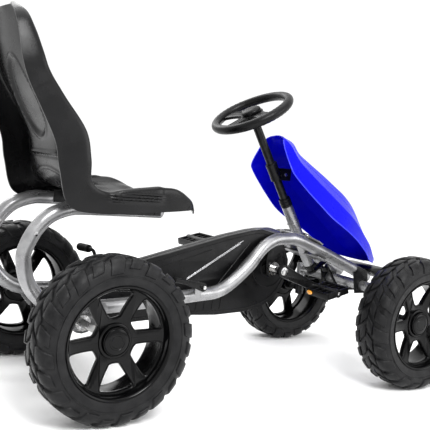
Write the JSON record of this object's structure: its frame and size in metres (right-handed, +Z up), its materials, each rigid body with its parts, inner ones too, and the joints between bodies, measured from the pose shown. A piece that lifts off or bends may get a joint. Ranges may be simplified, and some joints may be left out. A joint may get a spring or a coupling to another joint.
{
  "type": "pedal go kart",
  "caption": "Pedal go kart with a bucket seat on a bent-tube frame, steering wheel, front shield, chain drive and knobby tyres on spoked rims.",
  "frame": {"origin": "on the ground, at the middle of the overall length and width", "axes": "forward is -Y, the kart's left is +X, +Z is up"},
  "size_m": [0.6426, 1.2345, 0.8213],
  "materials": {
    "frame_silver": "satin silver powder coat",
    "black_paint": "semi-gloss black paint",
    "bright_steel": "zinc-plated steel",
    "black_plastic": "fine-grained black plastic",
    "seat_plastic": "satin blow-moulded black plastic",
    "rim_gloss": "gloss black plastic",
    "tyre_rubber": "matte dark grey rubber",
    "fairing_blue": "gloss blue plastic",
    "grip_rubber": "matte black rubber",
    "amber_reflector": "amber reflector"
  },
  "bodies": {
    "chassis": {"main_tube_right": "frame_silver", "main_tube_left": "frame_silver", "steering_head": "frame_silver", "steering_collar": "black_plastic", "lower_bush": "black_plastic", "front_beam": "frame_silver", "rear_bearing_right": "bright_steel", "rear_bearing_left": "bright_steel", "crank_bearing_right": "bright_steel", "crank_bearing_left": "bright_steel", "fairing": "fairing_blue", "fairing_clamp": "black_plastic", "nose_cover": "black_plastic", "chain": "bright_steel", "chain_guard_outer": "black_plastic", "chain_guard_inner": "black_plastic", "brake_band": "black_paint"},
    "seat": {"seat_shell": "seat_plastic", "seat_rail_right": "black_paint", "seat_rail_left": "black_paint"},
    "steering": {"steering_column": "black_paint", "pitman_arm": "black_paint", "steering_wheel": "black_plastic", "horn_pad": "black_plastic"},
    "knuckle_right": {"knuckle_right": "black_paint", "front_nut_right": "bright_steel"},
    "knuckle_left": {"knuckle_left": "black_paint", "front_nut_left": "bright_steel"},
    "track_rod": {"track_rod": "black_paint"},
    "front_wheel_right": {"tyre_front_right": "tyre_rubber", "rim_front_right": "rim_gloss", "hub_cap_front_right": "rim_gloss"},
    "front_wheel_left": {"tyre_front_left": "tyre_rubber", "rim_front_left": "rim_gloss", "hub_cap_front_left": "rim_gloss"},
    "rear_axle": {"rear_axle": "bright_steel", "tyre_rear_right": "tyre_rubber", "rim_rear_right": "rim_gloss", "hub_cap_rear_right": "rim_gloss", "rear_nut_right": "bright_steel", "tyre_rear_left": "tyre_rubber", "rim_rear_left": "rim_gloss", "hub_cap_rear_left": "rim_gloss", "rear_nut_left": "bright_steel", "rear_sprocket": "bright_steel", "brake_drum": "bright_steel"},
    "crank": {"crank_axle": "bright_steel", "crank_arm_right": "black_paint", "crank_arm_left": "black_paint", "crank_bolt_right": "bright_steel", "crank_bolt_left": "bright_steel", "front_sprocket": "bright_steel"},
    "pedal_right": {"pedal_right": "black_plastic", "pedal_reflector_right": "amber_reflector"},
    "pedal_left": {"pedal_left": "black_plastic", "pedal_reflector_left": "amber_reflector"},
    "brake_lever": {"brake_lever": "black_paint", "brake_grip": "grip_rubber"},
    "gear_lever": {"gear_lever": "black_paint"}
  },
  "joints": [
    {"name": "steering_turn", "type": "hinge", "parent": "chassis", "child": "steering", "pos_m": [0, -0.08, 0.634], "axis": [0, 0.5337, 0.8457], "range_deg": [-18, 18]},
    {"name": "knuckle_right_turn", "type": "hinge", "parent": "chassis", "child": "knuckle_right", "pos_m": [-0.195, -0.44725, 0.228], "axis": [0, 0, 1], "range_deg": [-18, 18]},
    {"name": "knuckle_left_turn", "type": "hinge", "parent": "chassis", "child": "knuckle_left", "pos_m": [0.195, -0.44725, 0.228], "axis": [0, 0, 1], "range_deg": [-18, 18]},
    {"name": "track_rod_turn", "type": "hinge", "parent": "knuckle_right", "child": "track_rod", "pos_m": [-0.195, -0.49325, 0.2058], "axis": [0, 0, 1], "range_deg": [-18, 18]},
    {"name": "front_wheel_right_spin", "type": "hinge", "parent": "knuckle_right", "child": "front_wheel_right", "pos_m": [-0.2686, -0.44725, 0.17], "axis": [1, 0, 0], "continuous": true},
    {"name": "front_wheel_left_spin", "type": "hinge", "parent": "knuckle_left", "child": "front_wheel_left", "pos_m": [0.2686, -0.44725, 0.17], "axis": [1, 0, 0], "continuous": true},
    {"name": "rear_axle_spin", "type": "hinge", "parent": "chassis", "child": "rear_axle", "pos_m": [0, 0.42525, 0.17], "axis": [1, 0, 0], "continuous": true},
    {"name": "crank_spin", "type": "hinge", "parent": "chassis", "child": "crank", "pos_m": [0, -0.135, 0.2745], "axis": [1, 0, 0], "continuous": true},
    {"name": "pedal_right_spin", "type": "hinge", "parent": "crank", "child": "pedal_right", "pos_m": [-0.158, -0.23996, 0.234], "axis": [1, 0, 0], "continuous": true},
    {"name": "pedal_left_spin", "type": "hinge", "parent": "crank", "child": "pedal_left", "pos_m": [0.158, -0.03004, 0.315], "axis": [1, 0, 0], "continuous": true},
    {"name": "seat_adjust", "type": "slide", "parent": "chassis", "child": "seat", "axis": [0, 1, 0], "range_m": [-0.04, 0.03]},
    {"name": "brake_lever_pull", "type": "hinge", "parent": "chassis", "child": "brake_lever", "pos_m": [0.135, 0.251, 0.232], "axis": [1, 0, 0], "range_deg": [0, 25]},
    {"name": "gear_lever_lift", "type": "hinge", "parent": "chassis", "child": "gear_lever", "pos_m": [-0.118, 0.117, 0.24], "axis": [1, 0, 0], "range_deg": [0, 20]}
  ],
  "couplings": [
    {"joint": "knuckle_right_turn", "follows": "steering_turn", "ratio": 1},
    {"joint": "knuckle_left_turn", "follows": "steering_turn", "ratio": 1},
    {"joint": "track_rod_turn", "follows": "steering_turn", "ratio": -1},
    {"joint": "crank_spin", "follows": "rear_axle_spin", "ratio": 0.58333}
  ]
}
